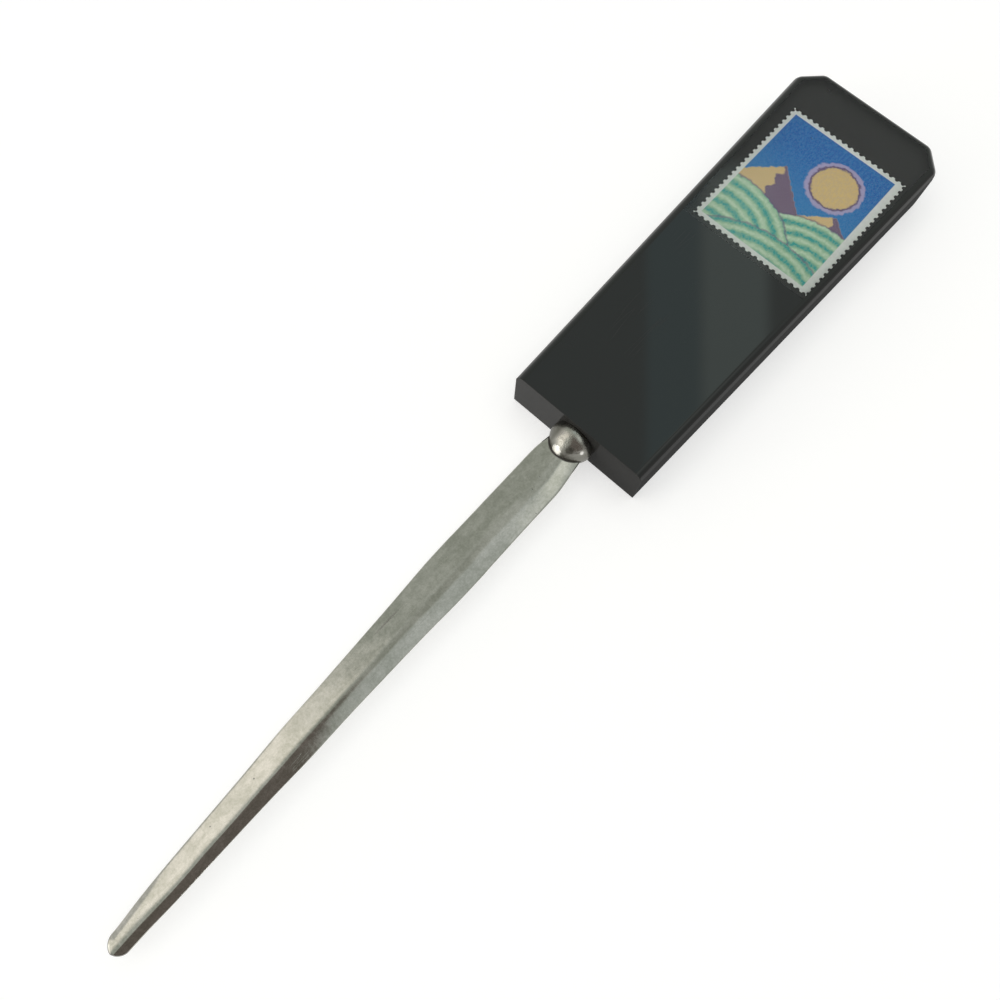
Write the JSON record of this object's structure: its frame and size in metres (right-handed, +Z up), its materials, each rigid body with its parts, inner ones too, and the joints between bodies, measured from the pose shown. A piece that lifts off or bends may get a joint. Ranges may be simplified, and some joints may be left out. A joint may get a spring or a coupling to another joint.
{
  "type": "letter opener",
  "caption": "Letter opener with a ridged, tapering steel blade, a domed bolster and a flat tapered black acrylic handle that seals a perforated stamp under a clear face.",
  "frame": {"origin": "middle of the bounding box, on the surface that the handle's underside lies on", "axes": "+X from the blade's tip to the handle's far end, +Y across the handle, +Z up from the underside to the clear face"},
  "size_m": [0.2268, 0.0382, 0.012],
  "materials": {
    "black_acrylic": "polished",
    "clear_acrylic": "polished clear",
    "stamp_paper": "printed paper",
    "plated_blade": "worn plating",
    "plated_bolster": "bright plating",
    "cured_cement": "cured"
  },
  "bodies": {
    "root": {"handle_base": "black_acrylic", "clear_face": "clear_acrylic", "stamp": "stamp_paper", "blade": "plated_blade", "bolster": "plated_bolster", "tang_cement": "cured_cement"}
  },
  "joints": []
}
